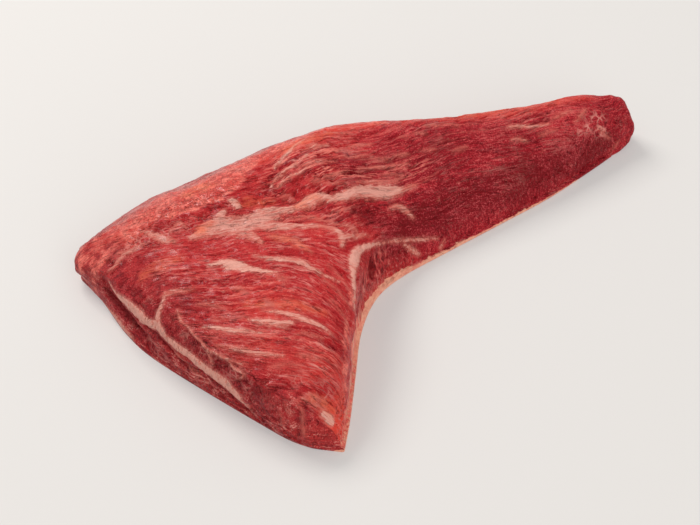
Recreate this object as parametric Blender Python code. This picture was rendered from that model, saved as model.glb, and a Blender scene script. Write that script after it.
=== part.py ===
"""Raw tri-tip: one whole, trimmed cut of beef lying on its fat side.

A broad lobe with a flat cut face narrows round a hollow inner edge into a long tail. The cut is
one solid. Units are metres; +X runs from the lobe's thin corner to the tail, +Y towards the
rounded back and +Z up. The flat underside is z = 0, and the origin is the middle of the box
round the cut, on that plane.
"""

import math
from collections import namedtuple

import bmesh
import bpy
import numpy as np
from mathutils import Vector, noise

MM = 0.001
NAME = "tri_tip"
LEAN_RED = (0.42, 0.035, 0.03, 1.0)

# Mesh density: sections along the muscle, and points over the top of each.
SECTIONS = 84
TOP_POINTS = 46

# The fat cap underneath shows as a thin ledge round the foot of the meat.
CAP_THICKNESS = 3.2
CAP_LEDGE = 1.6
CAP_INSET = 1.5

# Places below are in millimetres from a point beside the inner corner, on the floor. The finished
# cut is then centred on its own box.

# One cross-section of the muscle. front and back are the ends of its base line,
# in plan. crest is where the highest point lies between them, from 0 at the front to 1 at the
# back. The fullness of a side is 1 for a straight slope, 2 for a round and 4 for a square wall.
# bow pushes the middle of the section towards the cut face, in plan. tilt_back moves the top
# of the section towards the tail, as a share of its height.
Section = namedtuple(
    "Section", "front back height crest front_fullness back_fullness bow tilt_back"
)
CUT_SECTIONS = (
    Section((-5, -123), (-153, 1), 39, 0.45, 2.3, 2.0, 17, 0.20),
    Section((-2, -102), (-149, 25), 45, 0.53, 4.5, 2.0, 15, 0.10),
    Section((1, -71), (-126, 42), 50, 0.58, 7.0, 2.1, 11, 0.00),
    Section((4, -41), (-101, 55), 52, 0.60, 6.5, 2.1, 7, 0.00),
    Section((12, -16), (-72, 69), 52, 0.62, 3.6, 2.1, 3, 0.00),
    Section((26, 1), (-41, 85), 50, 0.66, 2.1, 2.2, 0, 0.00),
    Section((53, 21), (-3, 96), 46, 0.70, 1.7, 2.4, 0, 0.00),
    Section((84, 43), (48, 103), 42, 0.70, 1.7, 2.5, 0, 0.00),
    Section((113, 64), (92, 112), 39, 0.68, 1.8, 2.4, 0, 0.00),
    Section((137, 85), (128, 124), 36, 0.62, 2.0, 2.4, 0, 0.00),
    Section((151, 98), (152, 127), 31, 0.58, 2.3, 2.5, 0, -0.10),
)

# How the bow grows and fades from the front to the back of a section, as a share of its size.
BOW_SHAPE = ((0, 0), (0.11, 0.64), (0.25, 0.83), (0.60, 1.0), (0.75, 0.80), (0.90, 0.22), (1, 0))
# The tilt is greatest a little behind the middle of a section.
TILT_PLACE = 0.65
TILT_SPREAD = 0.22

# An end face runs from the rim of the last section (0) down to its base line (1), and stands
# out from them: (place, stand-out). The shapes say how it stands out from the front foot (0) to
# the back foot (1), as a share of that. The tail's end comes to a blunt point.
CUT_FACE = (
    (0, 0), (0.04, 1.1), (0.12, 1.9), (0.25, 2.5), (0.40, 2.7),
    (0.55, 2.6), (0.70, 2.1), (0.84, 1.2), (0.94, 0.5), (1, 0),
)
CUT_FACE_SHAPE = ((0, 0), (0.12, 0.9), (0.5, 1), (0.85, 0.8), (1, 0))
TAIL_END = (
    (0, 0), (0.08, 4.2), (0.22, 8.2), (0.42, 11.6), (0.62, 12.8), (0.82, 11.6), (0.94, 9.6), (1, 8.6),
)
TAIL_END_SHAPE = ((0, 0), (0.15, 0.55), (0.38, 1), (0.65, 0.85), (0.85, 0.55), (1, 0))

# A pull moves the surface near a place by a set amount.
Pull = namedtuple("Pull", "place width move")
PULLS = (
    # The thin corner overhangs its foot.
    Pull((-151, 3, 17), 13, (-8, 0, 1)),
    # The tail was cut off square above, and slopes in below.
    Pull((152, 113, 29), 7, (2, 2, 1)),
    Pull((160, 103, 7), 6, (-3, 2, 0)),
)

# Relief lines run through a few places on the surface. The surface rises by the height along a
# line, or sinks where it is negative, and the change fades out over the width.
Relief = namedtuple("Relief", "places width height")
RELIEF = (
    # The fat seam on the cut face, and the split below each end of it.
    Relief(((-129, -32, 27), (-105, -58, 27), (-75, -89, 22), (-52, -107, 10)), 5, 1.2),
    Relief(((-135, -21, 18), (-122, -39, 14), (-111, -55, 7)), 5, -4.5),
    Relief(((-82, -80, 10), (-69, -91, 7), (-53, -105, 6)), 4.5, -3.0),
    # The front tip stands out past the end of the split.
    Relief(((-42, -112, 9), (-25, -121, 12)), 9, 1.2),
    # The ridge of fat at the inner corner, with a furrow beside it and a pit behind it.
    Relief(((14, 2, 30), (3, -13, 38), (-1, -29, 41), (-2, -43, 40), (-1, -59, 34)), 6, 2.2),
    Relief(((-9, -21, 46), (-10, -40, 45), (-9, -60, 42)), 7, -1.2),
    Relief(((8, -16, 18), (14, 0, 21)), 7, -2.0),
    # The shallow valley of fat between the two muscle groups.
    Relief(((-83, -13, 49), (-57, 0, 51), (-30, 9, 50), (-2, 24, 44), (26, 36, 36)), 9, -1.4),
    # The step in the rounded back.
    Relief(((-14, 80, 44), (-22, 60, 50)), 9, 1.2),
)

# Soft lumps all over, and long low ripples that follow the grain.
LUMP_SIZE = 34
LUMP_HEIGHT = 1.2
RIPPLE_WIDTH = 13
RIPPLE_LENGTH = 70
RIPPLE_HEIGHT = 0.9
LOBE_GRAIN_ANGLE = math.radians(-16)
# The relief fades in over this stretch of height, so that the foot keeps its line.
RELIEF_FROM = 3.0
RELIEF_FULL = 9.0


def smooth_rows(rows, count):
    """Rows of numbers read off at count even steps along a smooth curve through all of them."""
    rows = np.asarray(rows, float)
    before = 2 * rows[0] - rows[1]
    after = 2 * rows[-1] - rows[-2]
    padded = np.vstack([before, rows, after])
    places = np.linspace(0, len(rows) - 1, count)
    start = np.minimum(places.astype(int), len(rows) - 2)
    u = (places - start)[:, None]
    p0, p1, p2, p3 = (padded[start + k] for k in range(4))
    return 0.5 * (
        2 * p1
        + (p2 - p0) * u
        + (2 * p0 - 5 * p1 + 4 * p2 - p3) * u**2
        + (3 * p1 - p0 - 3 * p2 + p3) * u**3
    )


def smooth_shape(shape, at):
    """The value of a smooth curve through (place, value) pairs, at the places asked for."""
    places, values = smooth_rows(shape, 80).T
    return np.interp(at, places, values)


def even_steps(outline, count):
    """count points spread evenly along an open outline."""
    lengths = np.linalg.norm(np.diff(outline, axis=0), axis=1)
    along = np.concatenate([[0], np.cumsum(lengths)])
    wanted = np.linspace(0, along[-1], count)
    return np.stack([np.interp(wanted, along, column) for column in outline.T], axis=1)


def lean_outline(width, height, crest, front_fullness, back_fullness):
    """The lean meat's outline over the top, as (across, up), between the two ledges."""
    across = (1 - np.cos(np.linspace(0, math.pi, 161))) / 2
    from_crest = np.where(
        across < crest, (crest - across) / crest, (across - crest) / (1 - crest)
    )
    fullness = np.where(across < crest, front_fullness, back_fullness)
    rise = (1 - from_crest**fullness).clip(0) ** (1 / fullness)
    inset = CAP_LEDGE + 0.4
    foot = CAP_THICKNESS + 0.8
    return np.stack(
        [inset + across * (width - 2 * inset), foot + rise * (height - foot)], axis=1
    )


def section_outline(width, *shape):
    """A cross-section as (across, up), from its front foot over the top to its back foot."""
    ledge = np.array(
        [
            (CAP_INSET, 0.0),
            (0.3, 0.6),
            (0.0, 0.5 * CAP_THICKNESS),
            (0.3, CAP_THICKNESS - 0.3),
            (CAP_LEDGE * 0.7, CAP_THICKNESS + 0.2),
        ]
    )
    other_ledge = ledge[::-1] * (-1, 1) + (width, 0)
    top = even_steps(lean_outline(width, *shape), TOP_POINTS)
    return np.vstack([ledge, top, other_ledge])


def section_points(row, down=0, stand_out=0, stand_out_shape=CUT_FACE_SHAPE):
    """One section in space, in mm.

    down sinks its outline from its rim (0) onto its base line (1), for an end face, and
    stand_out moves it towards the cut face.
    """
    front, back = row[0:2], row[2:4]
    height, crest, front_fullness, back_fullness, bow, tilt_back = row[4:]
    chord = back - front
    width = np.linalg.norm(chord)
    direction = chord / width
    towards_cut_face = np.array([-direction[1], direction[0]])
    rim = section_outline(width, height, crest, front_fullness, back_fullness)
    base = np.zeros_like(rim)
    base[:, 0] = np.linspace(CAP_INSET, width - CAP_INSET, len(rim))
    across, up = (rim + (base - rim) * down).T
    share = across / width
    lean_back = tilt_back * np.exp(-(((share - TILT_PLACE) / TILT_SPREAD) ** 2))
    feet = (across[0] / width, across[-1] / width)
    between_feet = (share - feet[0]) / (feet[1] - feet[0])
    push = (
        bow * smooth_shape(BOW_SHAPE, share)
        - lean_back * up
        + stand_out * smooth_shape(stand_out_shape, between_feet.clip(0, 1))
    )
    plan = front + np.outer(across, direction) + np.outer(push, towards_cut_face)
    return np.column_stack([plan, up])


def meat_grid():
    """Points in rows, from the base of the cut face over the meat to the base of its tail."""
    rows = smooth_rows([[*s.front, *s.back, *s[2:]] for s in CUT_SECTIONS], SECTIONS)
    cut_face = [section_points(rows[0], down, out) for down, out in CUT_FACE[:0:-1]]
    body = [section_points(row) for row in rows]
    tail_end = [
        section_points(rows[-1], down, -out, TAIL_END_SHAPE) for down, out in TAIL_END[1:]
    ]
    return np.array(cut_face + body + tail_end)


def surface_normals(grid):
    """The outward direction at each point of a grid of rows."""
    along = np.gradient(grid, axis=0)
    over = np.gradient(grid, axis=1)
    normals = np.cross(along, over)
    return normals / np.linalg.norm(normals, axis=2, keepdims=True).clip(1e-9)


def distance_to_line(points, places):
    """The distance from each point to a broken line through places."""
    nearest = np.full(points.shape[:-1], np.inf)
    for start, end in zip(places, places[1:]):
        start, end = np.array(start, float), np.array(end, float)
        run = end - start
        share = ((points - start) @ run / (run @ run)).clip(0, 1)
        gap = np.linalg.norm(points - start - share[..., None] * run, axis=-1)
        nearest = np.minimum(nearest, gap)
    return nearest


def smooth_step(values, low, high):
    t = ((values - low) / (high - low)).clip(0, 1)
    return t * t * (3 - 2 * t)


def soft_noise(coordinates):
    """Smooth noise between about -1 and 1 at each row of three coordinates."""
    flat = coordinates.reshape(-1, 3)
    return np.array([noise.noise(Vector(c)) for c in flat]).reshape(coordinates.shape[:-1])


def grain_ripples(grid):
    """Long ripples: straight across the lobe, and along the muscle on the tail."""
    x, y, z = np.moveaxis(grid, 2, 0)
    along_lobe = x * math.cos(LOBE_GRAIN_ANGLE) + y * math.sin(LOBE_GRAIN_ANGLE)
    across_lobe = y * math.cos(LOBE_GRAIN_ANGLE) - x * math.sin(LOBE_GRAIN_ANGLE)
    lobe = soft_noise(
        np.stack([along_lobe / RIPPLE_LENGTH, across_lobe / RIPPLE_WIDTH, z / 60], axis=2)
    )
    steps = np.linalg.norm(np.diff(grid, axis=1, prepend=grid[:, :1]), axis=2)
    over_tail = np.cumsum(steps, axis=1)
    tail = soft_noise(
        np.stack([x / RIPPLE_LENGTH, over_tail / RIPPLE_WIDTH, np.full_like(z, 7.3)], axis=2)
    )
    on_tail = smooth_step(x + 0.4 * y, 10, 50)
    return lobe * (1 - on_tail) + tail * on_tail


def add_relief(grid):
    """The grid with its relief raised along the surface's own direction."""
    rise = LUMP_HEIGHT * soft_noise(grid / LUMP_SIZE) + RIPPLE_HEIGHT * grain_ripples(grid)
    for line in RELIEF:
        rise += line.height * np.exp(-((distance_to_line(grid, line.places) / line.width) ** 2))
    moved = rise[..., None] * surface_normals(grid)
    for pull in PULLS:
        gap = np.linalg.norm(grid - pull.place, axis=2)
        moved += np.exp(-((gap / pull.width) ** 2))[..., None] * pull.move
    return grid + moved * smooth_step(grid[..., 2:], RELIEF_FROM, RELIEF_FULL)


def centred(grid):
    """The grid moved in plan so that the middle of its box is at the origin."""
    plan = grid[..., :2].reshape(-1, 2)
    middle = (plan.min(axis=0) + plan.max(axis=0)) / 2
    return grid - (*middle, 0)


def closed_skin(name, grid):
    """A closed mesh over a grid of rows whose border lies on the floor: one flat face closes it."""
    mesh = bmesh.new()
    rows = [[mesh.verts.new(Vector(p) * MM) for p in points] for points in grid]
    for near, far in zip(rows, rows[1:]):
        for i in range(len(near) - 1):
            mesh.faces.new((near[i], near[i + 1], far[i + 1], far[i]))
    bmesh.ops.remove_doubles(mesh, verts=mesh.verts, dist=1e-6)
    border = [edge for edge in mesh.edges if edge.is_boundary]
    underside = bmesh.ops.holes_fill(mesh, edges=border, sides=0)["faces"]
    bmesh.ops.recalc_face_normals(mesh, faces=mesh.faces)
    bmesh.ops.triangulate(mesh, faces=underside)
    data = bpy.data.meshes.new(name)
    mesh.to_mesh(data)
    mesh.free()
    return bpy.data.objects.new(name, data)


def meat_material():
    material = bpy.data.materials.new("raw_beef")
    material.use_nodes = True
    surface = material.node_tree.nodes["Principled BSDF"]
    surface.inputs["Base Color"].default_value = LEAN_RED
    surface.inputs["Roughness"].default_value = 0.45
    surface.inputs["Metallic"].default_value = 0.0
    return material


def main():
    for old in list(bpy.data.objects):
        bpy.data.objects.remove(old)
    collection = bpy.data.collections.new("raw_tri_tip")
    bpy.context.scene.collection.children.link(collection)
    meat = closed_skin(NAME, centred(add_relief(meat_grid())))
    meat.data.materials.append(meat_material())
    meat.data.shade_smooth()
    collection.objects.link(meat)


main()
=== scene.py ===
"""Raw tri-tip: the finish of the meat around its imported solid, laid out as a Blender add-on.

The solid gives the form. This script lays a fine skin over it: muscle fibres in relief, seams and
streaks of fat, marbling, silverskin along the back and the rim of the fat cap it lies on.
"""
import math

import bmesh
import bpy
import numpy as np
from bpy.props import FloatProperty, FloatVectorProperty, IntProperty, PointerProperty
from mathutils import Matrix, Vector


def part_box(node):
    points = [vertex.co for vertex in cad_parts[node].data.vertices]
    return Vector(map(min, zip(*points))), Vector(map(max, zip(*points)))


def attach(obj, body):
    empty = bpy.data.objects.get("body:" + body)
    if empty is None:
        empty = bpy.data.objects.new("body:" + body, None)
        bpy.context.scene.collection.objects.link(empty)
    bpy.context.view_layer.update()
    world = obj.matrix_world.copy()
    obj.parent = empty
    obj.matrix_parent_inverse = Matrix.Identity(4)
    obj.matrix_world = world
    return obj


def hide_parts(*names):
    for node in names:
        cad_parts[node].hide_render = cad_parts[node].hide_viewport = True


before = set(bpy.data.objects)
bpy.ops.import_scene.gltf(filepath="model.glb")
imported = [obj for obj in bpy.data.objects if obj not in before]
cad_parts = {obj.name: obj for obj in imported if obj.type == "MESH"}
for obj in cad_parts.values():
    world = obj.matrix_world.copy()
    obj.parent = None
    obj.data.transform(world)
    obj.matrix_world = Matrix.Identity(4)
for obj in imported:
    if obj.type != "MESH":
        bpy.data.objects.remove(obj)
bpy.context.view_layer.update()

bl_info = {
    "name": "Raw tri-tip",
    "version": (1, 0, 0),
    "blender": (4, 5, 0),
    "location": "View3D > Sidebar > Tri-tip",
    "description": "Covers a tri-tip's solid with fibres, fat, marbling and silverskin",
    "category": "Object",
}

NODE = "tri_tip"
MAP = "OFBake"
MM = 0.001
LOW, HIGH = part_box(NODE)

FIBRE_REACH = 42.0      # how far a guide of the grain is felt, mm
FIBRE_EASE = 0.02       # how far the grain may ease away from its guides
FINEST = 0.6            # half width below which a line of fat would slip between the skin's points, mm
FRAY_START, FRAY_PER_MM, FRAY_MOST = 0.2, 0.16, 0.7     # how far an edge frays, by its half width
GROOVE_EDGE = (-1.2, 1.4)       # where a groove's side begins and where it is deepest, mm inside
LOBE_RIM = 0.45         # how much of the fat cap's rim shows along the lobe
WELD = 0.01 * MM        # points closer than this are one
FLAT = 0.05 * MM        # faces this close to the lowest point are the underside
PAIR_BEND, PAIR_SKEW = 60, 70   # how unlike two triangles may be and still join as a quad, degrees
SOFT_BEND, SHARP_BEND, SHARPEST = 30, 70, 0.8   # bends in degrees where creases begin and end; the most
CAP_MAP = 0.5           # scale of the underside in the map
SKIN_FROM = 0.41        # how far up the map the skin begins, above the underside
FLOOR_HALF = 6.0        # half the floor's side, m
FLOOR_GAP = 0.05 * MM   # how far the floor lies below the meat

# Where the muscle fibres run, seen from above: x and y in mm, heading in degrees from +X.
FIBRE_GUIDES = (
    (-138, -14, 0), (-108, -20, -4), (-107, -48, -7), (-80, -38, -11), (-50, -31, -4),
    (-28, -35, -22), (-13, -45, -42), (-12, -64, -36), (-75, -69, -20), (-48, -73, -12),
    (-18, -78, -26), (-60, -88, -12), (-30, -98, -8), (-22, -114, -14), (-80, -8, 14),
    (-40, 7, 30), (-12, 20, 30), (14, 32, 20), (-35, -10, 5), (-42, 46, 46),
    (-26, 34, 36), (-18, 56, 8), (12, 54, 15), (14, 44, 21), (48, 79, 6),
    (90, 84, 12), (136, 104, 18), (60, 52, 28), (104, 76, 30), (22, 20, 22),
    (40, 18, 34), (84, 50, 36), (-100, 15, 34), (-68, 38, 34), (6, -14, 66),
    (-9, -86, -20), (-8, -100, -14), (-14, -107, -12), (-6, -60, -34),
)

# A streak or patch is how strong it shows, from 0 to 1, then its places in mm, a half width ending each.

# Fat on the upper surface: x, y, half width.
TOP_FAT = (
    # the large patch between the corners, its two arms and the strands beside them
    (0.76, (-93, -14, 1), (-88, -12, 3), (-83, -9, 5), (-77, -7, 6.5), (-69, -7, 7), (-61, -6, 7),
     (-54, -3, 6), (-48, 0, 4)),
    (0.95, (-92, -14, 0.4), (-86, -12, 1.6), (-80, -8, 2), (-73, -6, 1.2), (-67, -5, 0.4)),
    (1.00, (-68, -5, 0.4), (-61, -2, 1.5), (-54, 2, 1.8), (-48, 5, 1)),
    (0.95, (-72, -10, 0.4), (-64, -9, 1.5), (-57, -6, 1.4), (-51, -3, 0.6)),
    (0.72, (-76, -12, 1), (-68, -13, 3), (-61, -15, 3), (-56, -19, 2), (-53, -22, 0.8)),
    (0.90, (-79, -3, 1), (-77, 0, 2.3), (-75, 3, 1.3)),
    (0.86, (-56, 2, 2.4), (-48, 3, 2.6), (-40, 4, 2), (-34, 6, 2.4), (-30, 10, 3.8), (-26, 13, 4.2),
     (-22, 15, 3.4), (-16, 15, 2.8), (-11, 18, 3), (-5, 23, 3.4), (0, 26, 4), (6, 28.5, 4.3), (12, 31, 4.2),
     (18, 33, 3.6), (22, 35, 2.2), (25, 36, 0.8)),
    (0.70, (26, 36, 0.8), (28, 37.5, 1.6), (31, 39, 0.8)),
    (0.80, (-56, -9, 2.6), (-47, -9, 3.2), (-39, -9, 2.6), (-30, -9, 1.5), (-20, -9, 1.4), (-15, -11, 1.4)),
    (0.60, (-41, -3, 0.4), (-30, -2, 1), (-18, -4, 1), (-11, -6, 0.5)),
    (0.60, (-11, -6, 0.6), (-7, -4, 2), (-3, -4, 0.8)),
    (0.80, (-17, -8, 1), (-13, -11, 2.2), (-11, -14, 2.6), (-10.5, -18, 1.6), (-10.5, -21, 0.5)),
    (0.70, (-11, -14, 1.6), (-5, -10.5, 1.4), (0, -6, 1), (5, -2, 0.4)),
    (0.60, (-50, -16, 0.5), (-43, -18, 1.4), (-36, -20, 1.8), (-32, -24, 1), (-27, -28, 0.4)),
    (0.92, (-71, 10, 2.2), (-68, 7, 2.4)),
    (0.50, (-44, 13, 0.8), (-40, 14, 2.4), (-37, 12, 1)),
    # long lenses across the lobe
    (1.00, (-82, -35, 0.4), (-75, -34, 2), (-68, -36, 3.6), (-60, -39, 2.2), (-51, -41, 1.4),
     (-45, -42, 0.5)),
    (0.50, (-46, -44, 0.8), (-42, -46, 2), (-39, -45, 0.8)),
    (0.90, (-58, -30, 0.4), (-50, -32, 1.2), (-43, -33, 1.6), (-38, -33, 1.6), (-32, -35, 1.8),
     (-27, -39, 1.2), (-20, -43, 0.8), (-12, -46, 0.3)),
    (0.70, (-106, -50, 1.2), (-101, -49, 1.8), (-95, -50, 0.9), (-89, -49, 0.4)),
    (0.50, (-69, -51, 1), (-65, -52, 1.8), (-61, -54, 0.8)),
    (0.60, (-87, -59, 0.8), (-81, -60, 1), (-75, -62, 0.6)),
    (0.50, (-79, -68, 0.3), (-70, -69, 0.8), (-61, -70, 0.3)),
    (0.90, (-84, -72, 0.3), (-76, -74, 1.2), (-68, -77, 1.5), (-60, -78, 0.9), (-53, -80, 0.3)),
    (0.85, (-60, -71, 0.4), (-55, -73, 1.2), (-49, -74, 2), (-42, -75, 2.1), (-36, -74, 1)),
    (0.85, (-49, -67, 0.5), (-42, -68, 1.4), (-34, -71, 1.9), (-28, -74, 2), (-22, -76, 1.3),
     (-16, -80, 0.4)),
    (0.85, (-69, -87, 0.3), (-62, -89, 0.9), (-56, -91, 1.3), (-50, -92, 0.9), (-41, -94, 0.3)),
    (0.60, (-33, -93, 0.3), (-28, -94, 0.8), (-22, -95, 0.3)),
    (0.60, (-36, -83, 0.4), (-31, -81, 1), (-27, -82, 0.8), (-21, -84, 0.4)),
    (0.55, (-31, -115, 0.8), (-25, -114, 1.5), (-19, -114, 0.8)),
    (0.45, (-48, -99, 0.4), (-40, -98, 0.9), (-32, -99, 0.3)),
    (0.50, (-20, -46, 0.3), (-13, -52, 0.7), (-8, -58, 0.5)),
    (0.45, (-18, -36, 0.3), (-11, -43, 0.6), (-7, -48, 0.4)),
    (0.45, (-16, -60, 0.3), (-10, -66, 0.7), (-7, -71, 0.4)),
    # the mottled web at the far left
    (0.75, (-121, -2, 0.8), (-116, -5, 1.6), (-108, -12, 2.6), (-102, -15, 1.2)),
    (0.68, (-133, -13, 0.6), (-127, -15, 1.8), (-122, -14, 1.8), (-119, -12, 0.8)),
    (0.70, (-138, -21, 0.6), (-134, -20, 1.6), (-131, -17, 1.2), (-128, -16, 0.6)),
    (0.65, (-104, -8, 0.6), (-100, -3, 1.4), (-96, -6, 0.6)),
    # strands up the shoulder
    (0.88, (-50, 21, 0.4), (-46, 29, 1), (-41, 35, 1.2), (-35, 41, 1), (-30, 46, 0.4)),
    (0.88, (-48, 37, 0.4), (-44, 43, 1.1), (-40, 49, 1.1), (-36, 55, 0.8), (-31, 60, 0.3)),
    (0.85, (-46, 20, 0.4), (-43, 25, 1), (-39, 29, 1), (-34, 33, 0.8), (-28, 38, 0.4)),
    (0.55, (-34, 37, 1), (-27, 41, 2.4), (-20, 43, 1.2), (-14, 44, 0.4)),
    (0.70, (-30, 53, 0.6), (-24, 54, 2), (-18, 56, 0.8)),
    (0.50, (-28, 26, 0.8), (-24, 27, 2.2), (-20, 28, 0.8)),
    (0.60, (-22, 25, 0.4), (-15, 27, 1), (-9, 29, 0.4)),
    (0.60, (-20, 66, 0.3), (-13, 67, 0.9), (-8, 67, 1.1), (-6, 67, 0.4)),
    (0.60, (-20, 75, 0.3), (-11, 77, 0.9), (-3, 78, 0.3)),
    (0.55, (-7, 56, 0.4), (-1, 58, 1.1), (6, 60, 0.4)),
    # thin lines along the tail
    (0.65, (-1, 41, 0.3), (8, 44, 0.9), (18, 47, 0.9), (26, 50, 0.3)),
    (0.60, (-2, 32, 0.3), (4, 34, 0.7), (11, 36, 0.3)),
    (0.50, (-16, 47, 0.3), (-6, 49, 0.7), (6, 52, 0.3)),
    (0.55, (0, 48, 0.3), (8, 50, 0.7), (16, 51, 0.3)),
    (0.55, (19, 54, 0.4), (23, 55, 1), (27, 56, 0.4)),
    (0.50, (12, 40, 0.3), (18, 42, 0.7), (24, 43, 0.3)),
    (0.60, (30, 71, 0.3), (33, 71.5, 0.8), (37, 72, 0.3)),
    (0.55, (21, 67, 0.3), (24, 67.5, 0.7), (27, 68, 0.3)),
    (0.50, (34, 60, 0.4), (38, 61, 1), (42, 62, 0.4)),
    (0.65, (36, 78, 0.3), (41, 79, 0.9), (46, 79, 0.3)),
    (0.60, (46, 81, 0.3), (51, 81, 1), (56, 81, 0.3)),
    (0.45, (52, 62, 0.6), (56, 64, 1.2), (60, 66, 0.6)),
    (0.70, (86, 75, 0.3), (91, 76, 0.9), (95, 76, 0.3)),
    (0.80, (84, 82, 0.3), (92, 84, 1), (99, 85, 0.9), (108, 88, 0.4)),
    (0.50, (103, 81, 0.5), (107, 83, 1), (112, 85, 0.5)),
    (0.60, (110, 91, 0.3), (115, 94, 0.7), (121, 98, 0.3)),
)

# Fat on the walls: x, y, z, half width.
WALL_FAT = (
    # the seam across the cut face and its branches
    (0.95, (-138, -26, 25, 0.8), (-134, -33, 23, 2), (-131, -37, 24, 3), (-126, -44, 25, 4),
     (-121, -50, 25, 4.4), (-117, -54, 25, 3.4), (-113, -57, 26, 2.8), (-109, -61, 28, 3),
     (-105, -66, 25, 2.4), (-99, -72, 24, 2.6), (-92, -78, 24, 2.6), (-86, -84, 23, 3), (-79, -91, 23, 3.2),
     (-73, -96, 22, 3.8), (-69, -99, 19, 3.6), (-65, -101, 15, 2.4), (-61, -103, 9, 1.4),
     (-57, -105, 6, 0.6)),
    (0.60, (-103, -69, 21, 0.6), (-98, -73, 18, 1.3), (-93, -77, 15, 1.4), (-88, -81, 12, 1.1),
     (-83, -85, 8, 0.4)),
    (0.88, (-109, -61, 29, 1.8), (-109, -58, 33, 1.7), (-108, -56, 37, 1.3), (-107, -53, 39, 1),
     (-105, -49, 41, 1.2)),
    (0.75, (-98, -60, 40, 0.4), (-96, -66, 38, 0.9), (-92, -70, 38, 0.6), (-89, -75, 37, 0.8),
     (-85, -79, 36, 1), (-81, -84, 35, 1.2), (-77, -87, 36, 1), (-72, -91, 37, 0.9), (-68, -94, 38, 0.8),
     (-63, -96, 38, 0.4)),
    (0.80, (-82, -83, 35, 0.5), (-80, -86, 31, 1), (-79, -88, 28, 0.5)),
    (0.80, (-71, -92, 37, 0.4), (-67, -96, 35, 0.9), (-62, -100, 34, 0.8), (-66, -100, 29, 0.4)),
    (0.65, (-77, -84, 39, 0.4), (-67, -86, 40, 0.9), (-58, -89, 41, 0.4)),
    (0.85, (-141, -24, 4, 0.8), (-137, -30, 4, 2.4), (-133, -36, 3.5, 3), (-129, -42, 3, 2.2),
     (-125, -48, 2, 0.8)),
    # the front tip
    (0.55, (-34, -116, 32, 0.4), (-31, -120, 28, 0.8), (-31, -123, 20, 1.1), (-30, -123, 12, 0.6)),
    (0.50, (-41, -117, 31, 0.4), (-40, -118, 28, 0.8), (-38, -120, 23, 0.4)),
    (0.45, (-43, -116, 23, 0.4), (-42, -118, 19, 1.1), (-42, -118, 14, 0.6)),
    (0.95, (-20, -119, 25, 1.8), (-17, -120, 22, 2.6), (-16, -121, 19, 1.6)),
    (0.50, (-30, -114, 33, 0.6), (-25, -115, 32, 1.8), (-20, -114, 33, 1)),
    # the ridge at the inner corner, and the pocket beside it
    (0.95, (10, -2, 31, 0.6), (5, -9, 36, 1.4), (0, -16, 41, 2), (-3, -22, 43, 3.2), (-4, -27, 44, 3.4),
     (-4.5, -32, 45, 2.6), (-4, -38, 45, 1.7), (-4, -45, 43, 1.4), (-3.5, -51, 41, 1.3), (-3.5, -59, 39, 1)),
    (0.80, (8, -5, 32.7, 0.7), (12.5, 0.7, 28, 0.8), (19, 7, 23, 1), (27, 12.7, 17.6, 1.2),
     (36, 17, 13.7, 0.9), (43, 20.4, 11, 0.5)),
    (0.80, (24, 9, 18, 0.6), (27, 10, 14, 1.4), (30, 11, 10, 1.6), (33, 11, 7, 0.8)),
    (0.75, (16, 22, 33, 0.6), (21, 25, 32, 2), (25, 24, 29, 1.8), (29, 22, 26, 0.8)),
    (0.70, (47, 22, 8, 0.4), (45, 19, 5, 1.4)),
    # flecks at the tail's end
    (0.60, (124, 92, 33, 0.7), (127, 96, 34, 1.3), (130, 100, 35, 0.5)),
    (0.50, (137, 95, 25, 0.9), (140, 96, 21, 1.2), (145, 97, 15, 0.6)),
    (0.45, (147, 96, 3, 0.4), (149, 99, 7, 1), (151, 101, 9, 0.4)),
)
# Patches where fat runs through the lean as a web: x, y, z, half width.
WEBS = (
    (1.0, (126, 88, 28, 1), (131, 93, 29, 3), (136, 97, 28, 4.5), (140, 96, 22, 3.5)),
    (0.7, (-130, -14, 36, 3), (-116, -6, 41, 5), (-104, -10, 45, 4)),
    (0.5, (-114, -56, 10, 3), (-98, -68, 8, 4), (-80, -84, 6, 3)),
    (0.6, (-92, -74, 33, 3), (-78, -88, 33, 5), (-62, -98, 30, 5), (-48, -106, 24, 4)),
    (0.6, (-34, -104, 36, 3), (-24, -112, 32, 5), (-16, -108, 32, 4)),
)
# The pale skin along the back left edge, and a faint veil of painted light down the lobe's right edge: x, y,
# half width.
# Where a half width is 0 or less, only the soft edge shows.
MEMBRANE_AND_LIT_VEIL = (
    (1.0, (-138, 10, 4), (-126, 15, 9), (-114, 16, 13), (-102, 19, 15), (-90, 22, 16), (-80, 28, 14),
     (-70, 41, 10), (-60, 49, 8), (-48, 56, 6), (-34, 66, 4), (-22, 73, 3)),
    # painted light: a faint pale veil where the lobe's right edge turns away from the key light
    (1.0, (-5, -50, -2), (-7, -66, 0.5), (-8, -84, 1), (-9, -100, 1), (-12, -112, 0)),
)
# The paler, raw-pink corner at the far left: x, y, half width.
CORNER = ((1.0, (-153, -6, 14), (-140, 0, 14), (-128, 2, 9)),)
# Painted shade as darker lean: the tail's front slope, the pocket at the inner corner, the hollow under the
# seam and the cut face's upper lean; faintly, the tail crown's own darker lean: x, y, z, half width.
DEEP_LEAN_AND_SHADE = (
    (1.0, (8, -12, 18, 8), (12, -2, 24, 9), (24, 14, 22, 10), (44, 34, 20, 12), (72, 52, 18, 13),
     (100, 72, 16, 13), (128, 88, 14, 10), (144, 96, 12, 6)),
    (0.9, (-2, 10, 44, 4), (8, 12, 34, 6), (16, 14, 26, 6)),
    (0.7, (-147, -16, 19, 2), (-138, -26, 13, 5), (-127, -40, 12, 5), (-116, -52, 9, 3), (-104, -62, 6, 3)),
    (0.6, (-130, -34, 30, 3), (-118, -48, 31, 5), (-100, -64, 33, 6), (-84, -80, 31, 7), (-66, -95, 29, 9),
     (-50, -106, 27, 5)),
    (0.45, (-4, 42, 46, 8), (20, 46, 44, 10), (50, 58, 40, 12), (84, 72, 36, 12)),
)
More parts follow.
